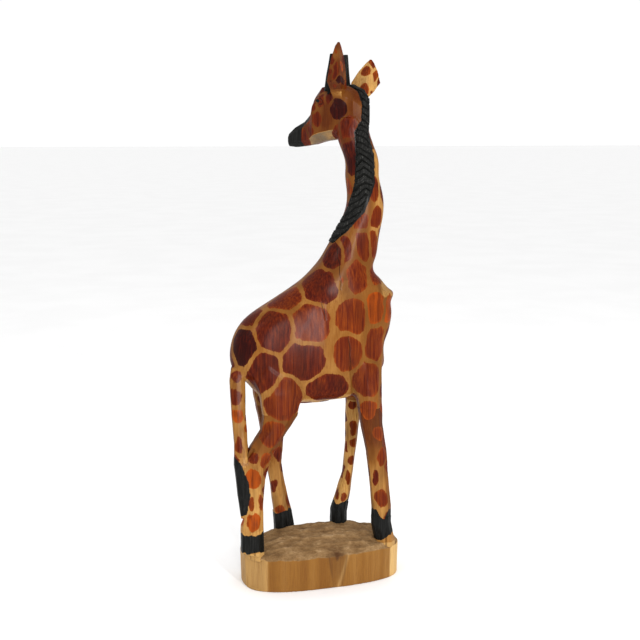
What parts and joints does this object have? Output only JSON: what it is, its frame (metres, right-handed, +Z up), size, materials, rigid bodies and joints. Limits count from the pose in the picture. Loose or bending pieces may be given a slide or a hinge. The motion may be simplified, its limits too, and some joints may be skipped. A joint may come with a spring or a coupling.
{
  "type": "carved giraffe statue",
  "caption": "Carved, painted wooden giraffe on a block of the same log, head turned over its left shoulder, with upright ears, blunt horns and a notched mane.",
  "frame": {"origin": "middle of the plinth's flat underside", "axes": "+X the way the chest points, +Y the giraffe's left, +Z up"},
  "size_m": [0.1995, 0.1275, 0.601],
  "materials": {
    "painted_wood": "spotted stain under gloss varnish",
    "black_paint": "black paint, satin",
    "bare_wood": "bare, sawn and roughly carved"
  },
  "bodies": {
    "root": {"plinth": "bare_wood", "torso": "painted_wood", "neck": "painted_wood", "head": "painted_wood", "right_fore_leg": "painted_wood", "left_fore_leg": "painted_wood", "right_hind_leg": "painted_wood", "left_hind_leg": "painted_wood", "tail": "painted_wood", "left_ear": "painted_wood", "right_ear": "painted_wood", "muzzle": "black_paint", "right_fore_hoof": "black_paint", "left_fore_hoof": "black_paint", "right_hind_hoof": "black_paint", "left_hind_hoof": "black_paint", "tail_tuft": "black_paint", "mane": "black_paint", "left_horn": "black_paint", "right_horn": "black_paint"}
  },
  "joints": []
}
